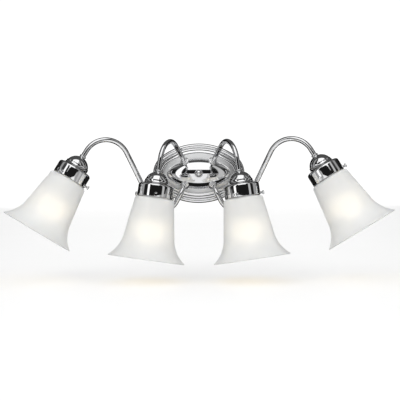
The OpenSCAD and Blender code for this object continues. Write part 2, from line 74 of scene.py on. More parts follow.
class Graph:
    """A material's node tree, with short calls for the nodes used here."""

    def __init__(self, name):
        self.mat = bpy.data.materials.new(name)
        self.mat.use_nodes = True
        self.tree = self.mat.node_tree
        self.bsdf = self.tree.nodes["Principled BSDF"]
        self.coord = self.tree.nodes.new("ShaderNodeTexCoord").outputs["Object"]

    def link(self, a, b):
        self.tree.links.new(a, b)

    def put(self, value, socket):
        if isinstance(value, bpy.types.NodeSocket):
            self.link(value, socket)
        else:
            socket.default_value = value

    def set(self, **values):
        for name, value in values.items():
            self.put(value, self.bsdf.inputs[name.replace("_", " ")])

    def noise(self, scale, detail=3.0, roughness=0.55):
        n = self.tree.nodes.new("ShaderNodeTexNoise")
        n.inputs["Scale"].default_value = scale
        n.inputs["Detail"].default_value = detail
        n.inputs["Roughness"].default_value = roughness
        self.link(self.coord, n.inputs["Vector"])
        return n.outputs["Fac"]

    def math(self, op, a, b=0.0, c=0.0):
        n = self.tree.nodes.new("ShaderNodeMath")
        n.operation = op
        for i, v in enumerate((a, b, c)):
            self.put(v, n.inputs[i])
        return n.outputs[0]

    def remap(self, value, low, high, to_low, to_high):
        """Carries a value from one range to another along a smooth S-curve."""
        n = self.tree.nodes.new("ShaderNodeMapRange")
        n.interpolation_type = "SMOOTHSTEP"
        for name, v in (
            ("Value", value), ("From Min", low), ("From Max", high),
            ("To Min", to_low), ("To Max", to_high),
        ):
            self.put(v, n.inputs[name])
        return n.outputs[0]

    def ramp(self, fac, stops):
        n = self.tree.nodes.new("ShaderNodeValToRGB")
        points = n.color_ramp.elements
        while len(points) < len(stops):
            points.new(0.5)
        for point, (pos, colour) in zip(points, stops):
            point.position = pos
            point.color = (*colour, 1.0)
        self.link(fac, n.inputs["Fac"])
        return n.outputs["Color"]

    def bump(self, height, strength, distance):
        n = self.tree.nodes.new("ShaderNodeBump")
        n.inputs["Strength"].default_value = strength
        n.inputs["Distance"].default_value = distance
        self.link(height, n.inputs["Height"])
        self.link(n.outputs["Normal"], self.bsdf.inputs["Normal"])

    def edges(self, low, high):
        """1 on sharp outer edges, from the mesh's pointiness."""
        geo = self.tree.nodes.new("ShaderNodeNewGeometry")
        return self.remap(geo.outputs["Pointiness"], low, high, 0.0, 1.0)

    def attribute(self, name):
        n = self.tree.nodes.new("ShaderNodeAttribute")
        n.attribute_name = name
        return n.outputs["Fac"]


def chrome():
    g = Graph("chrome")
    cloud = g.noise(35.0, 4.0)
    fine = g.noise(900.0, 3.0, 0.6)
    smudge = g.remap(cloud, 0.45, 0.72, 0.0, 1.0)
    rough = g.math("MULTIPLY_ADD", smudge, 0.035, 0.035)
    rough = g.math("MULTIPLY_ADD", g.edges(0.53, 0.6), 0.05, rough)
    rough = g.math("MULTIPLY_ADD", fine, 0.012, rough)
    g.set(
        Base_Color=g.ramp(cloud, [(0.3, (0.80, 0.805, 0.815)), (0.7, (0.86, 0.86, 0.865))]),
        Metallic=1.0, Roughness=rough,
    )
    g.bump(cloud, 0.02, 0.0004)
    return g.mat


def satin():
    """The canopy's band, brushed to a fine satin."""
    g = Graph("satin_chrome")
    cloud = g.noise(40.0, 4.0)
    grain = g.noise(1500.0, 2.0, 0.65)
    g.set(
        Base_Color=g.ramp(cloud, [(0.3, (0.66, 0.665, 0.67)), (0.7, (0.72, 0.72, 0.725))]),
        Metallic=1.0, Roughness=g.math("MULTIPLY_ADD", grain, 0.14, 0.30),
    )
    g.bump(grain, 0.10, 0.0001)
    return g.mat


def etched_glass():
    g = Graph("etched_glass")
    grain = g.noise(2600.0, 2.0, 0.7)
    cloud = g.noise(22.0, 3.0, 0.5)
    g.set(
        Base_Color=g.ramp(cloud, [(0.3, (0.893, 0.900, 0.894)), (0.7, (0.921, 0.926, 0.920))]),
        Roughness=g.math("MULTIPLY_ADD", grain, 0.12, 0.34),
        IOR=1.5, Transmission_Weight=0.34, Subsurface_Weight=0.25, Subsurface_Scale=0.004,
    )
    g.bsdf.inputs["Subsurface Radius"].default_value = (1.0, 0.95, 0.85)
    g.bump(grain, 0.12, 0.00012)
    return g.mat


def lit_glass():
    """Frosted bulb glass, warm and bright at the middle of its globe."""
    g = Graph("bulb_frost")
    grain = g.noise(3000.0, 2.0, 0.6)
    cloud = g.noise(40.0, 2.0)
    g.set(
        Base_Color=g.ramp(cloud, [(0.3, (0.97, 0.93, 0.84)), (0.7, (1.0, 0.97, 0.90))]),
        Roughness=g.math("MULTIPLY_ADD", grain, 0.15, 0.3), IOR=1.5,
        Emission_Color=g.ramp(cloud, [(0.3, (1.0, 0.83, 0.56)), (0.7, (1.0, 0.87, 0.64))]),
        Emission_Strength=g.math("MULTIPLY_ADD", g.attribute("glow"), 1.75, 0.10),
    )
    g.bump(grain, 0.1, 0.0001)
    return g.mat


def metal(name, low, high, rough, scale=60.0):
    g = Graph(name)
    cloud = g.noise(scale, 4.0, 0.6)
    fine = g.noise(scale * 25, 3.0, 0.6)
    g.set(
        Base_Color=g.ramp(cloud, [(0.3, low), (0.7, high)]), Metallic=1.0,
        Roughness=g.math("MULTIPLY_ADD", cloud, 0.18, rough),
    )
    g.bump(fine, 0.15, 0.0002)
    return g.mat


def plastic(name, low, high, rough, coat=0.0, scale=80.0):
    g = Graph(name)
    cloud = g.noise(scale, 4.0, 0.6)
    fine = g.noise(scale * 20, 2.0, 0.6)
    g.set(
        Base_Color=g.ramp(cloud, [(0.3, low), (0.7, high)]),
        Roughness=g.math("MULTIPLY_ADD", fine, 0.15, rough),
        Coat_Weight=coat, Coat_Roughness=0.08,
    )
    g.bump(fine, 0.1, 0.00015)
    return g.mat


MATS = {
    "chrome": chrome(),
    "etched_glass": etched_glass(),
    "bulb_glass": lit_glass(),
    "base_metal": metal("base_metal", (0.70, 0.69, 0.66), (0.80, 0.79, 0.77), 0.18),
    "porcelain": plastic("porcelain", (0.86, 0.84, 0.79), (0.92, 0.90, 0.86), 0.15, 0.7, 30.0),
    "brass": metal("brass", (0.72, 0.52, 0.22), (0.86, 0.67, 0.34), 0.20),
    "zinc_steel": metal("zinc_steel", (0.50, 0.52, 0.55), (0.68, 0.69, 0.70), 0.30, 45.0),
    "green_screw": metal("green_screw", (0.04, 0.24, 0.11), (0.08, 0.40, 0.19), 0.28),
    "copper": metal("copper", (0.70, 0.34, 0.19), (0.86, 0.46, 0.29), 0.22),
    "connector_plastic": plastic(
        "connector_plastic", (0.78, 0.27, 0.05), (0.86, 0.34, 0.09), 0.38
    ),
    "black_insulation": plastic("black_insulation", (0.012, 0.012, 0.013), (0.03, 0.03, 0.03), 0.4),
    "white_insulation": plastic("white_insulation", (0.80, 0.80, 0.77), (0.88, 0.88, 0.86), 0.4),
}


# ---- Dressing the CAD nodes ----------------------------------------------------

def smooth(obj, angle=32.0):
    """Smooth shading, with edges sharper than the angle kept crisp."""
    mesh = obj.data
    mesh.shade_smooth()
    if hasattr(mesh, "set_sharp_from_angle"):
        mesh.set_sharp_from_angle(angle=math.radians(angle))


def dress(obj, slot):
    obj.data.materials.clear()
    obj.data.materials.append(MATS[slot])


SLOT_OF = {part["node"]: part["material_slot"] for part in RECORD["subparts"]}
for name, obj in NODES.items():
    dress(obj, SLOT_OF[name])
    smooth(obj)


# ---- Sizes of the design, in millimetres ---------------------------------------

SHEET = 1.2
TUBE_R = 5.0
COLLAR_BORE = TUBE_R - 0.05
ROOT = Vector((29.0, -20.02, 24.5))
# Each bend is (straight before it, turn about the tube, bend angle, bend radius)
INNER = {
    "slope": 34.5, "yaw": 68.0, "root_z": 1, "drop": 21.5,
    "bends": [(56.0, 0.0, 49.0, 44.0), (2.0, 6.0, 67.5, 44.0)],
}
OUTER = {
    "slope": -36.0, "yaw": 69.0, "root_z": -1, "drop": 15.0,
    "bends": [(12.0, 35.0, 47.0, 20.0), (15.0, 101.0, 126.0, 30.0), (112.0, 173.0, 121.0, 47.0)],
}
THREAD_IN, THREAD_OUT = 7.0, 11.0
SEAT_R, SEAT_H = 9.0, 2.2

# Holder, with heights along the shade's axis from the holder's top
DOME_MID, DOME_R, NECK_Z = 25.0, 24.0, 18.0
SHOULDER_Z, SHOULDER_R, COVE_R = 26.0, 5.0, 6.5
SKIRT_Z, SKIRT_END, SKIRT_R = 31.0, 52.0, 35.0

# Thumbscrews, with heights along the screw from the shade's axis
SCREW_TURNS = [102.0, 85.0, 102.0, 42.0]
SCREW_Z, SCREW_R, SCREW_HEAD_R = 48.0, 2.1, 4.0
SCREW_TIP, SCREW_HEAD, SCREW_END = 30.6, SKIRT_R + 5.0, SKIRT_R + 8.0
SCREW_PITCH, KNURLS = 0.8, 24

# Bell glass
GLASS_T = 3.0
LIP_TOP, LIP_R, GLASS_NECK_R = 38.5, 31.5, 29.9
GLASS_TOP_R, GLASS_SHOULDER_Z, GLASS_SHOULDER_R = 39.0, 59.2, 6.0
WAIST_R, WAIST_Z = 49.5, 129.9
MOUTH_R, FLARE_H = 77.0, 44.6

# Lampholder and bulb
SHELL_R, SHELL_IN_R, SHELL_LOW, SHELL_HIGH = 14.3, 13.75, 29.7, 56.1
BASE_R, BASE_PITCH, BASE_THREAD = 13.0, 3.63, 0.75
TIP_Z, BASE_LOW, BASE_HIGH = 35.2, 38.2, 61.2
GLOBE_R, GLOBE_Z, GLOBE_SLOPE, BULB_NECK_R = 30.0, 116.2, 28.0, 13.8
GLOW_START, GLOW_FULL = 84.0, 110.0

# Finial and its washer, with heights from the wall
FINIAL_R, WASHER_R, WASHER_LOW, WASHER_TOP = 7.5, 8.5, 35.0, 37.4


# ---- Where the arms and lights are ------------------------------------------

def turn(angle, axis):
    return Matrix.Rotation(math.radians(angle), 4, axis)


def shift(x, y, z):
    return Matrix.Translation((x, y, z))


def arm_walk(light):
    """The frame at an arm's root, its centreline, and the frame where its light hangs."""
    spec = INNER if light in (1, 2) else OUTER
    mirror = Matrix.Scale(-1, 4, (1, 0, 0)) if light < 2 else Matrix.Identity(4)
    root = Vector((ROOT.x, ROOT.y, spec["root_z"] * ROOT.z))
    at = mirror @ Matrix.Translation(root) @ turn(-spec["yaw"], "Z") @ turn(90 - spec["slope"], "Y")
    start = at.copy()
    path = [at @ Vector((0, 0, -THREAD_IN)), at @ Vector((0, 0, 0))]
    for length, twist, bend, radius in spec["bends"]:
        for part in (0.25, 0.5, 0.75):
            path.append(at @ Vector((0, 0, length * part)))
        at = at @ shift(0, 0, length) @ turn(twist, "Z")
        steps = max(6, round(bend / 3))
        for k in range(steps + 1):
            a = math.radians(bend * k / steps)
            path.append(at @ Vector((radius * (1 - math.cos(a)), 0, radius * math.sin(a))))
        a = math.radians(bend)
        at = at @ shift(radius * (1 - math.cos(a)), 0, radius * math.sin(a)) @ turn(bend, "Y")
    for part in (0.33, 0.66):
        path.append(at @ Vector((0, 0, spec["drop"] * part)))
    at = at @ shift(0, 0, spec["drop"])
    path += [at @ Vector((0, 0, 0)), at @ Vector((0, 0, THREAD_OUT))]
    return start, path, at


WALKS = [arm_walk(light) for light in range(4)]


def unmirrored(at, axis=(0, 0, 1)):
    """A right-handed frame at a frame's origin, with Z along one of its directions."""
    quat = (at.to_3x3() @ Vector(axis)).to_track_quat("Z", "Y")
    return Matrix.Translation(at @ Vector((0, 0, 0))) @ quat.to_matrix().to_4x4()


def root_frame(light):
    return unmirrored(WALKS[light][0])


def light_frame(light):
    return unmirrored(WALKS[light][2])


def screw_frame(light, screw):
    at = WALKS[light][2] @ shift(0, 0, SCREW_Z) @ turn(SCREW_TURNS[light] + 120 * screw, "Z")
    return unmirrored(at, (1, 0, 0))


def middle_frame():
    """At the middle of the canopy's back, with Z out from the wall."""
    return unmirrored(Matrix.Identity(4), (0, -1, 0))


# ---- Mesh helpers ----------------------------------------------------------------

def arc(cx, cz, r, start, end, steps):
    """Points on an arc, angles in degrees from the radial direction."""
    out = []
    for k in range(steps + 1):
        a = math.radians(start + (end - start) * k / steps)
        out.append((cx + r * math.cos(a), cz + r * math.sin(a)))
    return out


def add_lathe(bm, profile, place, turns=96, warp=None, closed=False):
    """Turns a section of (radius, height) points round the Z axis of a frame."""
    rings = []
    for r, z in profile:
        if r < 1e-6:
            rings.append([bm.verts.new(place @ Vector((0, 0, z)) * MM)])
            continue
        ring = []
        for k in range(turns):
            a = 2 * math.pi * k / turns
            rr, zz = warp(r, z, a) if warp else (r, z)
            ring.append(bm.verts.new(place @ Vector((rr * math.cos(a), rr * math.sin(a), zz)) * MM))
        rings.append(ring)
    pairs = list(zip(rings, rings[1:]))
    if closed:
        pairs.append((rings[-1], rings[0]))
    for low, high in pairs:
        if len(low) == 1 and len(high) == 1:
            continue
        for k in range(turns):
            n = (k + 1) % turns
            if len(low) == 1:
                bm.faces.new((low[0], high[n], high[k]))
            elif len(high) == 1:
                bm.faces.new((low[k], low[n], high[0]))
            else:
                bm.faces.new((low[k], low[n], high[n], high[k]))


def add_tube(bm, path, radius, sides=40):
    """Sweeps a circle along a centreline without twisting it."""
    normal = None
    rings = []
    for i, p in enumerate(path):
        a, b = path[max(i - 1, 0)], path[min(i + 1, len(path) - 1)]
        t = (b - a).normalized()
        if normal is None:
            normal = t.orthogonal().normalized()
        normal = (normal - t * normal.dot(t)).normalized()
        other = t.cross(normal)
        ring = []
        for k in range(sides):
            c = 2 * math.pi * k / sides
            ring.append(bm.verts.new((p + radius * (normal * math.cos(c) + other * math.sin(c))) * MM))
        rings.append(ring)
    for low, high in zip(rings, rings[1:]):
        for k in range(sides):
            n = (k + 1) % sides
            bm.faces.new((low[k], low[n], high[n], high[k]))
    bm.faces.new(rings[0])
    bm.faces.new(rings[-1])


def piece(name, build, slot, body, replaced, angle=32.0):
    """Makes a mesh piece that stands for CAD nodes and rides on a body."""
    bm = bmesh.new()
    build(bm)
    bmesh.ops.recalc_face_normals(bm, faces=bm.faces)
    mesh = bpy.data.meshes.new(name)
    bm.to_mesh(mesh)
    bm.free()
    obj = bpy.data.objects.new(name, mesh)
    scene.collection.objects.link(obj)
    mesh.materials.append(MATS[slot])
    smooth(obj, angle)
    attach(obj, body)
    if replaced:
        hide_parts(*replaced)
    return obj


# ---- Canopy -----------------------------------------------------------------

END_X, END_R, SIDE_Z, SIDE_R = 50.1, 45.4, 66.8, 128.9
EDGE_BEAD_R, STEP_BEAD_R, RIM_W = 5.0, 4.5, 30.0
GROOVE_H, DOME_H = 17.0, 19.0
DOME_INSET, DOME_A, DOME_B = 31.5, 64.0, 30.6
DOME_SIDE_R = (DOME_B**2 + DOME_H**2) / (2 * DOME_H)
DOME_LONG_R = (DOME_A**2 + DOME_H**2) / (2 * DOME_H)
DOME_AXIS_H = GROOVE_H + DOME_H - DOME_SIDE_R
# Insets between which the rim's band is satin
BAND = (21.0, 29.4)
CANOPY_TURNS, DOME_STEPS = 320, 40


def oval_point(angle, inset):
    """A point of the four-centre oval where its outward normal has that angle."""
    c, s = math.cos(angle), math.sin(angle)
    if abs(c) >= 0.6:
        return Vector((math.copysign(END_X, c) + (END_R - inset) * c, (END_R - inset) * s))
    return Vector(((SIDE_R - inset) * c, -math.copysign(SIDE_Z, s) + (SIDE_R - inset) * s))


def dome_height(x, z):
    section = math.sqrt(DOME_LONG_R**2 - x * x) - DOME_LONG_R + DOME_SIDE_R
    return DOME_AXIS_H + math.sqrt(max(section * section - z * z, 0.0))


def dome_reach(direction):
    """How far the dome's edge is from the middle in a direction."""
    low, high = 0.0, 66.0
    for _ in range(40):
        mid = (low + high) / 2
        if dome_height(direction.x * mid, direction.y * mid) > GROOVE_H:
            low = mid
        else:
            high = mid
    return low


def rim_profile():
    """(inset, height) of the stepped rim, from the wall to the dome's groove."""
    out = [(0.0, 0.0), (0.0, 2.0), (0.0, EDGE_BEAD_R)]
    out += arc(EDGE_BEAD_R, EDGE_BEAD_R, EDGE_BEAD_R, 176, 34, 24)
    out += [(9.3, 7.45)]
    out += arc(13.5, 9.0, STEP_BEAD_R, 194, 92, 22)
    # A low polished ridge
    for k in range(9):
        part = k / 8
        out.append((14.6 + 5.8 * part, 13.43 + 2.28 * part + 0.7 * math.sin(math.pi * part)))
    # The sloping satin band
    out += [(20.75, 15.55), (21.1, 15.99), (26.0, 17.92), (29.3, 19.22)]
    out += arc(RIM_W - 0.55, 18.95, 0.5, 100, 0, 6)
    out += [(RIM_W, 18.2), (RIM_W + 0.05, GROOVE_H + 0.25), (RIM_W + 0.4, GROOVE_H)]
    return out


def even_angles(count, samples=7200):
    """Normal angles that are evenly spread along the oval, not by angle."""
    fine = [2 * math.pi * k / samples for k in range(samples)]
    points = [oval_point(a, RIM_W / 2) for a in fine]
    run = [0.0]
    for a, b in zip(points, points[1:]):
        run.append(run[-1] + (b - a).length)
    total = run[-1] + (points[0] - points[-1]).length
    angles, j = [], 0
    for k in range(count):
        goal = total * k / count
        while j < len(run) - 1 and run[j + 1] < goal:
            j += 1
        angles.append(fine[j])
    return angles


def build_canopy(bm):
    angles = even_angles(CANOPY_TURNS)
    rim = rim_profile()
    rings = [[(oval_point(a, inset), height) for a in angles] for inset, height in rim]
    edge = []
    for a in angles:
        d = oval_point(a, DOME_INSET).normalized()
        edge.append(d * dome_reach(d))
    rings.append([(p, GROOVE_H) for p in edge])
    for k in range(1, DOME_STEPS):
        part = 1 - (k / DOME_STEPS) ** 1.1
        rings.append([(p * part, dome_height(p.x * part, p.y * part)) for p in edge])
    satin_rings = [i for i, (inset, _) in enumerate(rim) if BAND[0] < inset < BAND[1]]
    made = [[bm.verts.new(Vector((p.x, -h, p.y)) * MM) for p, h in ring] for ring in rings]
    top = bm.verts.new(Vector((0, -dome_height(0, 0), 0)) * MM)
    for i, (low, high) in enumerate(zip(made, made[1:])):
        for k in range(CANOPY_TURNS):
            n = (k + 1) % CANOPY_TURNS
            face = bm.faces.new((low[k], low[n], high[n], high[k]))
            face.material_index = 1 if i in satin_rings and i + 1 in satin_rings else 0
    for k in range(CANOPY_TURNS):
        bm.faces.new((made[-1][k], made[-1][(k + 1) % CANOPY_TURNS], top))


def build_seats(bm):
    """The round seats pressed out of the dome, square to the arms."""
    edge = 0.5
    seat = [(TUBE_R - 0.1, -SEAT_H), (SEAT_R, -SEAT_H), (SEAT_R, SEAT_H - edge)]
    seat += arc(SEAT_R - edge, SEAT_H - edge, edge, 0, 90, 5) + [(TUBE_R - 0.1, SEAT_H)]
    for light in range(4):
        add_lathe(bm, seat, root_frame(light), 64, closed=True)


def build_collars(bm):
    """The turned collars on the seats: a foot, a neck and a bead."""
    ring = [(COLLAR_BORE, SEAT_H), (7.9, SEAT_H)] + arc(7.6, 2.9, 0.4, -50, 90, 6)
    ring += [(6.9, 3.35)] + arc(6.35, 3.75, 0.3, 250, 180, 4)[::-1]
    ring += arc(6.3, 4.95, 0.3, 0, 90, 4) + [(6.2, 5.3)]
    ring += arc(TUBE_R, 5.4, 1.55, 8, 82, 8) + [(COLLAR_BORE, 6.9)]
    for light in range(4):
        add_lathe(bm, ring, root_frame(light), 64, closed=True)


# ---- Arms, holders, glasses and bulbs ------------------------------------------------

def build_arm(light):
    return lambda bm: add_tube(bm, WALKS[light][1], TUBE_R)


def holder_profile():
    """Closed half section of a pressed holder, outside then inside."""
    def side(skin):
        r = DOME_R - skin
        start = 90 - math.degrees(math.asin((TUBE_R + 0.1) / r))
        neck = math.degrees(math.asin((NECK_Z - DOME_MID) / r))
        out = arc(0, DOME_MID, r, -start, neck, 30)
        out += [(r, NECK_Z + 0.3), (r, NECK_Z + 1.2)]
        out += arc(DOME_R + COVE_R, SHOULDER_Z - COVE_R, COVE_R + skin, 180, 97, 16)
        out += arc(SKIRT_R - SHOULDER_R, SKIRT_Z, SHOULDER_R - skin, -88, 0, 14)
        if skin == 0:
            out += [(SKIRT_R, 36.0), (SKIRT_R, 44.0)]
            out += arc(SKIRT_R - 0.5, SKIRT_END - 0.5, 0.5, 0, 90, 4)
        else:
            out += [(SKIRT_R - skin, SKIRT_END)]
        return out
    return side(0) + side(SHEET)[::-1]


def build_holder(light):
    """The holder, with a small raised lug round each thumbscrew's hole."""
    hole = SCREW_R + 0.05
    lug = [(hole, SKIRT_R - 0.6), (3.5, SKIRT_R - 0.6), (3.4, SKIRT_R + 0.25)]
    lug += [(3.0, SKIRT_R + 0.55), (hole, SKIRT_R + 0.55)]

    def build(bm):
        add_lathe(bm, holder_profile(), light_frame(light), 128, closed=True)
        for screw in SCREWS:
            add_lathe(bm, lug, screw_frame(light, screw), 40, closed=True)
    return build


def build_bead(bm):
    """The beads on the arms where they enter the holders."""
    ring = [(COLLAR_BORE, -2.6), (5.8, -2.6), (6.15, -2.4)]
    ring += arc(TUBE_R + 0.6, -1.2, 1.5, -45, 45, 8)
    ring += [(6.2, 0.1), (6.2, 1.4), (5.9, 1.7), (COLLAR_BORE, 1.75)]
    for light in range(4):
        add_lathe(bm, ring, light_frame(light), 64, closed=True)


def shade_profile():
    """Closed half section of the bell glass, with a rounded rim at its mouth."""
    rise, widen = WAIST_Z - GLASS_SHOULDER_Z, WAIST_R - GLASS_TOP_R
    taper = math.atan2(widen, rise)
    flare_dr = MOUTH_R - WAIST_R
    flare = (flare_dr**2 + FLARE_H**2) / (
        2 * (flare_dr * math.cos(taper) - FLARE_H * math.sin(taper))
    )
    cx, cz = WAIST_R + flare * math.cos(taper), WAIST_Z - flare * math.sin(taper)
    wall_end = WAIST_Z + FLARE_H - 1.3

    def wall(skin):
        slant = skin / math.cos(taper)
        out = arc(
            GLASS_TOP_R - GLASS_SHOULDER_R, GLASS_SHOULDER_Z, GLASS_SHOULDER_R - skin,
            -90, -math.degrees(taper), 12,
        )
        for k in range(1, 11):
            part = k / 10
            out.append((GLASS_TOP_R + widen * part - slant, GLASS_SHOULDER_Z + rise * part))
        end = 180 - math.degrees(math.asin((wall_end - cz) / (flare + skin)))
        out += arc(cx, cz, flare + skin, 180 - math.degrees(taper), end, 28)[1:]
        return out

    outer, inner = wall(0), wall(GLASS_T)
    (ax, az), (bx, bz) = outer[-1], inner[-1]
    mid_r, mid_z = (ax + bx) / 2, min((az + bz) / 2, wall_end - 0.3)
    half = math.hypot(ax - bx, az - bz) / 2
    rim = []
    for k in range(1, 10):
        a = math.pi * k / 10
        rim.append((min(mid_r + half * math.cos(a), MOUTH_R - 0.1), mid_z + 1.6 * math.sin(a)))
    neck, bore = GLASS_NECK_R, GLASS_NECK_R - GLASS_T
    # From inside the neck, down the outside, round the rim and back up the inside
    profile = [(bore, LIP_TOP + 1.0), (bore + 0.4, LIP_TOP + 0.3), (bore + 1.1, LIP_TOP)]
    profile += [(neck, LIP_TOP)]
    profile += arc(LIP_R - 0.6, LIP_TOP + 0.8, 0.6, -80, 0, 4)
    profile += arc(LIP_R - 0.6, LIP_TOP + 3.5, 0.6, 0, 80, 4)
    profile += [(neck + 0.3, LIP_TOP + 4.3), (neck, LIP_TOP + 4.8), (neck, SKIRT_END)]
    profile += [(neck + 0.3, SKIRT_END + 0.9), (neck + 1.1, SKIRT_END + 1.2)]
    profile += outer + rim + inner[::-1]
    profile += [(neck + 0.1, 56.2), (bore + 1.1, 55.6), (bore, 54.2)]
    return profile


def build_shade(light):
    def build(bm):
        add_lathe(bm, shade_profile(), light_frame(light), 160, closed=True)
    return build


def build_screw(light, screw):
    """A threaded shank with a rounded tip, and a knurled head with a dished face."""
    tip, head, end = SCREW_TIP, SCREW_HEAD, SCREW_END

    def warp(r, z, a):
        if head + 0.2 < z < end - 0.2 and r > 3.5:
            return r - 0.22 * (1 + math.cos(KNURLS * a)) / 2, z
        if tip + 0.6 < z < head - 0.4 and r > 1.5:
            return r - 0.26 * (0.5 - 0.5 * math.cos(2 * math.pi * z / SCREW_PITCH + a)), z
        return r, z

    def build(bm):
        profile = [(0, tip), (1.2, tip + 0.05), (1.7, tip + 0.5)]
        z = tip + 0.7
        while z < head - 0.4:
            profile.append((SCREW_R, z))
            z += SCREW_PITCH / 5
        wide = SCREW_HEAD_R
        profile += [(SCREW_R, head - 0.2), (SCREW_R + 0.3, head), (wide - 0.5, head)]
        profile += [(wide - 0.2, head + 0.1), (wide, head + 0.35), (wide, head + 1.0)]
        profile += [(wide, head + 2.0), (wide, end - 0.35), (wide - 0.2, end - 0.1)]
        profile += [(3.4, end), (2.7, end), (2.4, end - 0.35), (1.0, end - 0.55), (0, end - 0.55)]
        add_lathe(bm, profile, screw_frame(light, screw), warp=warp)
    return build


def build_shell(light):
    """The plain screw shell inside a lampholder."""
    low, high = SHELL_LOW, SHELL_HIGH
    profile = [(SHELL_R, low), (SHELL_R, high), (SHELL_IN_R, high), (SHELL_IN_R, low)]

    def build(bm):
        add_lathe(bm, profile, light_frame(light), closed=True)
    return build


def build_base(light):
    """The bulb's screw base, with a rolled thread and a centre tip."""
    tip, low, high = TIP_Z, BASE_LOW, BASE_HIGH
    thread_low, thread_high = low + 1.4, high - 0.2
    steps = 76

    def warp(r, z, a):
        if r < BASE_R - 1 or not low + 1.5 < z < high - 2.0:
            return r, z
        return r - BASE_THREAD * (0.5 - 0.5 * math.cos(2 * math.pi * z / BASE_PITCH - a)), z

    def build(bm):
        profile = [(0, tip), (2.2, tip), (3.0, tip + 0.4), (3.1, tip + 1.0), (4.0, tip + 1.0)]
        profile += [(7.5, tip + 2.0), (BASE_R - 2.0, low), (12.3, low + 0.3), (BASE_R, low + 1.1)]
        for k in range(steps + 1):
            profile.append((BASE_R, thread_low + (thread_high - thread_low) * k / steps))
        profile += [(12.6, high), (0, high)]
        add_lathe(bm, profile, light_frame(light), warp=warp)
    return build


def build_bulb(light):
    """A round globe on a cone that runs into the neck."""
    slope = math.radians(GLOBE_SLOPE)
    cone_r, cone_z = GLOBE_R * math.cos(slope), GLOBE_Z - GLOBE_R * math.sin(slope)
    r = BULB_NECK_R
    neck = cone_z - (cone_r - r) / math.tan(slope)
    low = BASE_HIGH + 0.1

    def build(bm):
        profile = [(0, low), (r - 0.8, low), (r - 0.2, low + 0.5), (r, low + 1.3)]
        profile += [(r, neck - 3), (r + 0.1, neck - 0.8), (r + 0.5, neck + 0.6)]
        for k in range(1, 9):
            part = 0.08 + 0.9 * k / 8
            profile.append((r + (cone_r - r) * part, neck + (cone_z - neck) * part))
        profile += arc(0, GLOBE_Z, GLOBE_R, -GLOBE_SLOPE + 1, 89, 36) + [(0, GLOBE_Z + GLOBE_R)]
        add_lathe(bm, profile, light_frame(light))
    return build


def add_glow(obj, light):
    """How brightly each part of a bulb shines: most round the middle of its globe."""
    to_light = light_frame(light).inverted()
    glow = obj.data.attributes.new("glow", "FLOAT", "POINT")
    for v, value in zip(obj.data.vertices, glow.data):
        z = (to_light @ (v.co / MM)).z
        part = min(max((z - GLOW_START) / (GLOW_FULL - GLOW_START), 0.0), 1.0)
        value.value = part * part * (3 - 2 * part)


def build_socket(light):
    """The lampholder: a stepped cap, a grooved body, and the well for the shell."""
    def build(bm):
        profile = [(5.0, 7.8), (10.4, 7.8), (11.0, 8.4), (11.0, 10.0), (11.6, 10.8)]
        profile += [(14.3, 10.8), (15.0, 11.5), (15.0, 13.0), (15.6, 13.8), (18.2, 13.8)]
        profile += [(18.8, 14.1), (19.0, 14.8), (19.0, 40.0), (18.6, 40.4), (18.6, 41.2)]
        profile += [(19.0, 41.6), (19.0, 58.2), (18.7, 58.9), (18.0, 59.2), (15.4, 59.2)]
        profile += [(14.7, 58.8), (14.5, 58.2)]
        profile += [(14.5, 28.7), (1.5, 28.7), (1.5, 24.7), (12.0, 24.7), (12.0, 12.7), (5.0, 12.7)]
        add_lathe(bm, profile, light_frame(light), closed=True)
    return build


def build_finial(bm):
    """A ball on a short neck."""
    base = WASHER_TOP
    neck_r = FINIAL_R - 1
    ball = base + neck_r
    profile = [(4.9, base), (neck_r - 0.3, base), (neck_r, base + 0.3), (neck_r, base + 0.9)]
    profile += [(neck_r - 0.6, base + 1.5)]
    profile += arc(0, ball, FINIAL_R, -38, 88, 30) + [(0, ball + FINIAL_R)]
    add_lathe(bm, profile, middle_frame())


def build_washer(bm):
    """The bevelled washer that the finial seats on."""
    low, top = WASHER_LOW, WASHER_TOP
    ring = [(4.9, low + 0.2), (WASHER_R - 0.2, low), (WASHER_R, low + 0.4), (WASHER_R, top - 0.9)]
    ring += [(WASHER_R - 0.3, top - 0.5), (WASHER_R - 0.9, top - 0.1), (WASHER_R - 1.3, top)]
    ring += [(4.9, top)]
    add_lathe(bm, ring, middle_frame(), closed=True)


# ---- Pieces -----------------------------------------------------------------------

canopy = piece("canopy_plate", build_canopy, "chrome", "root", ["canopy"], 40.0)
canopy.data.materials.append(satin())
sheet = canopy.modifiers.new("sheet", "SOLIDIFY")
sheet.thickness = SHEET * MM
sheet.offset = -1.0
piece("canopy_seats", build_seats, "chrome", "root", [])
piece("collars", build_collars, "chrome", "root", ["arm_collars"])
piece("holder_beads", build_bead, "chrome", "root", ["holder_collars"])
piece("finial_ball", build_finial, "chrome", "finial", ["finial"])
piece("finial_seat", build_washer, "chrome", "root", ["finial_washer"])
for light, side in enumerate(SIDES):
    piece("tube_" + side, build_arm(light), "chrome", "root", ["arm_" + side])
    piece("cap_" + side, build_holder(light), "chrome", "root", ["holder_" + side])
    piece("bell_" + side, build_shade(light), "etched_glass", "shade_" + side, ["shade_" + side], 60.0)
    piece("lampholder_" + side, build_socket(light), "porcelain", "root", ["socket_" + side])
    piece("shell_" + side, build_shell(light), "brass", "root", ["socket_shell_" + side])
    piece("bulb_screw_" + side, build_base(light), "base_metal", "bulb_" + side, ["bulb_base_" + side])
    bulb = piece(
        "globe_" + side, build_bulb(light), "bulb_glass", "bulb_" + side, ["bulb_glass_" + side]
    )
    add_glow(bulb, light)
    for screw in SCREWS:
        name = "thumbscrew_%s_%d" % (side, screw)
        piece("screw_%s_%d" % (side, screw), build_screw(light, screw), "chrome", name, [name])


# ---- Camera, light and floor ------------------------------------------------

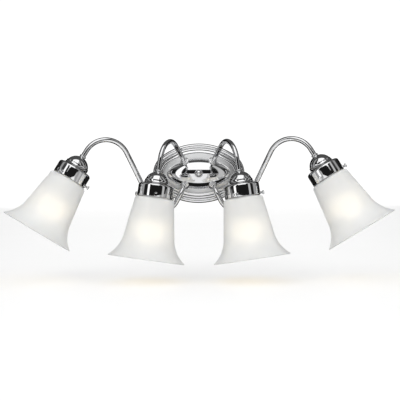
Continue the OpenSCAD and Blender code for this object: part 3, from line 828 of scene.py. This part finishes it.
def camera():
    data = bpy.data.cameras.new("camera")
    data.lens = 80.96
    data.sensor_width = 36.0
    data.shift_x = 0.0138
    data.clip_start = 0.05
    data.dof.use_dof = False
    obj = bpy.data.objects.new("camera", data)
    aim = turn(0.39, "Z") @ turn(-1.70, "X") @ turn(0.34, "Y") @ turn(90, "X")
    obj.matrix_world = shift(0.00347, -1.8866, 0.00004) @ aim
    scene.collection.objects.link(obj)
    scene.camera = obj


def area_light(name, place, target, size, power):
    data = bpy.data.lights.new(name, "AREA")
    data.shape = "RECTANGLE"
    data.size, data.size_y = size
    data.energy = power
    obj = bpy.data.objects.new(name, data)
    obj.location = place
    aim = Vector(target) - Vector(place)
    obj.rotation_euler = aim.to_track_quat("-Z", "Y").to_euler()
    obj.visible_glossy = False
    scene.collection.objects.link(obj)


def world():
    studio_world = bpy.data.worlds.new("studio_world")
    studio_world.use_nodes = True
    background = studio_world.node_tree.nodes["Background"]
    background.inputs["Color"].default_value = (1.0, 1.0, 1.0, 1.0)
    background.inputs["Strength"].default_value = 1.08
    scene.world = studio_world


def studio():
    """A sphere of dark cards and bright softboxes, seen only in the gloss of the metal."""
    mesh = bpy.data.meshes.new("studio_cards")
    bm = bmesh.new()
    bmesh.ops.create_uvsphere(bm, u_segments=48, v_segments=24, radius=4.0)
    bm.to_mesh(mesh)
    bm.free()
    obj = bpy.data.objects.new("studio_cards", mesh)
    scene.collection.objects.link(obj)
    for ray in ("camera", "diffuse", "shadow", "transmission", "volume_scatter"):
        setattr(obj, "visible_" + ray, False)
    g = Graph("studio_cards")
    g.tree.nodes.remove(g.bsdf)
    norm = g.tree.nodes.new("ShaderNodeVectorMath")
    norm.operation = "NORMALIZE"
    g.link(g.coord, norm.inputs[0])
    split = g.tree.nodes.new("ShaderNodeSeparateXYZ")
    g.link(norm.outputs[0], split.inputs[0])
    x, y, z = split.outputs
    up = g.math("MULTIPLY", g.math("ARCSINE", z), 180 / math.pi)
    # Degrees round from the front, positive to the right
    front = g.math("MULTIPLY", y, -1.0)
    heading = g.math("MULTIPLY", g.math("ARCTAN2", x, front), 180 / math.pi)
    side = g.math("ABSOLUTE", heading)

    def band(value, low, high, soft):
        rise = g.remap(value, low - soft, low + soft, 0.0, 1.0)
        fall = g.remap(value, high - soft, high + soft, 1.0, 0.0)
        return g.math("MULTIPLY", rise, fall)

    across = g.math("ABSOLUTE", x)
    # Grey room above, with a large softbox over the front
    light = g.math("MULTIPLY", band(up, 34, 120, 9.0), 0.07)
    box = g.math("MULTIPLY", band(across, -1.0, 0.38, 0.02), band(z, 0.42, 1.2, 0.02))
    box = g.math("MULTIPLY", box, band(y, -1.2, -0.10, 0.04))
    light = g.math("MAXIMUM", light, g.math("MULTIPLY", box, 1.2))
    # Pale table below, brightest towards the front
    table = g.math("MULTIPLY", band(z, -1.2, -0.045, 0.012), band(y, -1.2, -0.30, 0.05))
    table = g.math("MULTIPLY", table, g.remap(across, 0.42, 0.52, 0.95, 0.36))
    light = g.math("MAXIMUM", light, table)
    # Narrow softboxes at the front, wide grey ones at the sides
    strip = g.math("MULTIPLY", band(heading, -50, -37, 1.2), band(up, -34, 74, 2.0))
    light = g.math("MAXIMUM", light, g.math("MULTIPLY", strip, 1.3))
    strip = g.math("MULTIPLY", band(heading, 42, 56, 1.2), band(up, -34, 74, 2.0))
    light = g.math("MAXIMUM", light, g.math("MULTIPLY", strip, 0.55))
    strip = g.math("MULTIPLY", band(side, 76, 96, 2.5), band(up, -40, 60, 6.0))
    light = g.math("MAXIMUM", light, g.math("MULTIPLY", strip, 0.34))
    # White backdrop behind
    light = g.math("MAXIMUM", light, g.math("MULTIPLY", band(y, 0.955, 1.2, 0.01), 0.95))
    light = g.math("ADD", light, 0.012)
    emit = g.tree.nodes.new("ShaderNodeEmission")
    g.link(light, emit.inputs["Strength"])
    g.link(emit.outputs[0], g.tree.nodes["Material Output"].inputs["Surface"])
    mesh.materials.append(g.mat)


def floor():
    drop = 0.03
    mesh = bpy.data.meshes.new("floor")
    bm = bmesh.new()
    bmesh.ops.create_circle(bm, cap_ends=True, segments=96, radius=9.0)
    bm.to_mesh(mesh)
    bm.free()
    obj = bpy.data.objects.new("floor", mesh)
    obj.location = (0, 0, CAD_BOX[0][2] - drop)
    scene.collection.objects.link(obj)
    g = Graph("floor")
    paint = g.noise(3.0, 2.0)
    g.set(
        Base_Color=g.ramp(paint, [(0.2, (0.97, 0.97, 0.97)), (0.8, (0.985, 0.985, 0.985))]),
        Roughness=0.6,
    )
    mesh.materials.append(g.mat)
    obj.visible_glossy = False


scene.view_settings.view_transform = "Standard"
camera()
world()
studio()
floor()
area_light("key", (-1.2, -1.9, 1.7), (0, -0.08, 0), (1.4, 1.0), 6.0)
area_light("fill", (1.5, -1.7, 0.9), (0, -0.08, 0), (1.2, 1.2), 3.0)
